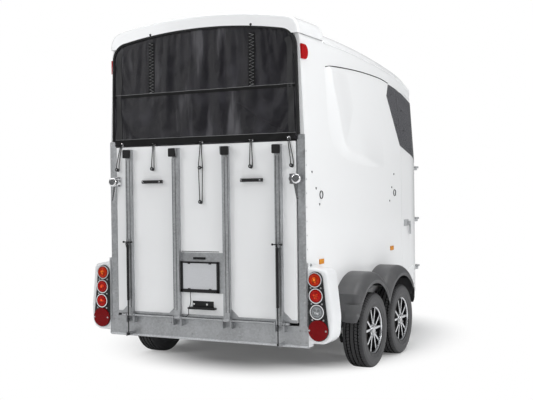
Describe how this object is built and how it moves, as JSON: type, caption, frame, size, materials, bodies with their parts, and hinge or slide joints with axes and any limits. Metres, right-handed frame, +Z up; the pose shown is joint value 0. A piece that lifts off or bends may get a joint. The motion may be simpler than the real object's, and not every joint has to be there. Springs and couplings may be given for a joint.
{
  "type": "horse trailer",
  "caption": "Enclosed horse trailer with a moulded body, rounded nose, rear loading ramp on gas struts, mesh curtain, groom door and jockey wheel.",
  "frame": {"origin": "middle of the trailer's bounding box, on the ground", "axes": "+X to the right side, +Y forward to the coupling, +Z up"},
  "size_m": [2.31, 4.584, 2.983],
  "materials": {
    "white_shell": "glossy white moulded composite",
    "tinted_window": "dark tinted acrylic",
    "galvanised": "hot-dip galvanised",
    "black_plastic": "grained black",
    "black_mesh": "black mesh",
    "tyre": "black rubber",
    "alloy": "black with polished edges",
    "drum_metal": "cast",
    "lens": "ribbed lens",
    "chromed": "polished",
    "amber": "reflector",
    "plate": "blank silver",
    "floor_board": "rubber mat on board",
    "padding": "padded panel",
    "painted_black": "satin"
  },
  "bodies": {
    "trailer": {"axle_front": "galvanised", "axle_rear": "galvanised", "chassis_rails": "galvanised", "coupling_head": "painted_black", "curtain_edge": "black_plastic", "door_hinge_butts": "painted_black", "drawbar": "galvanised", "floor": "floor_board", "jockey_sleeve": "galvanised", "lamp_carriers": "black_plastic", "lamp_housings": "white_shell", "lamp_lenses": "lens", "lamp_rings": "chromed", "marker_lamps": "lens", "mudguards": "black_plastic", "nose_shell": "white_shell", "nose_windows": "tinted_window", "overrun_housing": "painted_black", "partition_board": "padding", "partition_frame": "galvanised", "rear_beam": "galvanised", "rear_brackets": "galvanised", "rear_curtain": "black_mesh", "rear_posts": "galvanised", "roof_hood": "white_shell", "roof_shell": "white_shell", "side_reflectors": "amber", "side_walls": "white_shell"},
    "ramp": {"number_plate": "plate", "plate_frame": "black_plastic", "plate_lamp": "black_plastic", "ramp_frame": "galvanised", "ramp_handles": "black_plastic", "ramp_knobs": "black_plastic", "ramp_latches": "chromed", "ramp_panel": "white_shell"},
    "groom_door": {"door_handle": "black_plastic", "door_hinge_leaves": "painted_black", "door_panel": "white_shell", "door_window": "tinted_window"},
    "jockey_fork": {"jockey_fork": "galvanised"},
    "jockey_wheel": {"jockey_wheel": "tyre"},
    "strut_left": {"strut_cylinder_left": "painted_black"},
    "strut_rod_left": {"strut_rod_left": "chromed"},
    "strut_right": {"strut_cylinder_right": "painted_black"},
    "strut_rod_right": {"strut_rod_right": "chromed"},
    "wheel_rear_left": {"drum_rear_left": "drum_metal", "rim_rear_left": "alloy", "tyre_rear_left": "tyre"},
    "wheel_rear_right": {"drum_rear_right": "drum_metal", "rim_rear_right": "alloy", "tyre_rear_right": "tyre"},
    "wheel_front_left": {"drum_front_left": "drum_metal", "rim_front_left": "alloy", "tyre_front_left": "tyre"},
    "wheel_front_right": {"drum_front_right": "drum_metal", "rim_front_right": "alloy", "tyre_front_right": "tyre"}
  },
  "joints": [
    {"name": "ramp_hinge", "type": "hinge", "parent": "trailer", "child": "ramp", "pos_m": [0, -2.246, 0.486], "axis": [1, 0, 0], "range_deg": [0, 107]},
    {"name": "strut_pivot_left", "type": "hinge", "parent": "ramp", "child": "strut_left", "pos_m": [-0.712, -2.276, 1.1], "axis": [1, 0, 0], "range_deg": [-12.5, 0.5]},
    {"name": "strut_slide_left", "type": "slide", "parent": "strut_left", "child": "strut_rod_left", "axis": [0, 0.0026, 1], "range_m": [0, 0.231]},
    {"name": "strut_pivot_right", "type": "hinge", "parent": "ramp", "child": "strut_right", "pos_m": [0.712, -2.276, 1.1], "axis": [1, 0, 0], "range_deg": [-12.5, 0.5]},
    {"name": "strut_slide_right", "type": "slide", "parent": "strut_right", "child": "strut_rod_right", "axis": [0, 0.0026, 1], "range_m": [0, 0.231]},
    {"name": "wheel_spin_rear_left", "type": "hinge", "parent": "trailer", "child": "wheel_rear_left", "pos_m": [-1.054, -1.268, 0.322], "axis": [1, 0, 0], "continuous": true},
    {"name": "wheel_spin_rear_right", "type": "hinge", "parent": "trailer", "child": "wheel_rear_right", "pos_m": [1.054, -1.268, 0.322], "axis": [1, 0, 0], "continuous": true},
    {"name": "wheel_spin_front_left", "type": "hinge", "parent": "trailer", "child": "wheel_front_left", "pos_m": [-1.054, -0.546, 0.322], "axis": [1, 0, 0], "continuous": true},
    {"name": "wheel_spin_front_right", "type": "hinge", "parent": "trailer", "child": "wheel_front_right", "pos_m": [1.054, -0.546, 0.322], "axis": [1, 0, 0], "continuous": true},
    {"name": "groom_door_hinge", "type": "hinge", "parent": "trailer", "child": "groom_door", "pos_m": [0.885, 0.745, 1.21], "axis": [0, 0, 1], "range_deg": [0, 110]},
    {"name": "jockey_swivel", "type": "hinge", "parent": "trailer", "child": "jockey_fork", "pos_m": [0.205, 1.5, 0.32], "axis": [0, 0, 1], "continuous": true},
    {"name": "jockey_wheel_spin", "type": "hinge", "parent": "jockey_fork", "child": "jockey_wheel", "pos_m": [0.205, 1.438, 0.11], "axis": [1, 0, 0], "continuous": true}
  ],
  "couplings": [
    {"joint": "strut_pivot_left", "follows": "ramp_hinge", "ratio": -0.11232},
    {"joint": "strut_slide_left", "follows": "ramp_hinge", "m_per_rad": 0.1219},
    {"joint": "strut_pivot_right", "follows": "ramp_hinge", "ratio": -0.11232},
    {"joint": "strut_slide_right", "follows": "ramp_hinge", "m_per_rad": 0.1219}
  ]
}
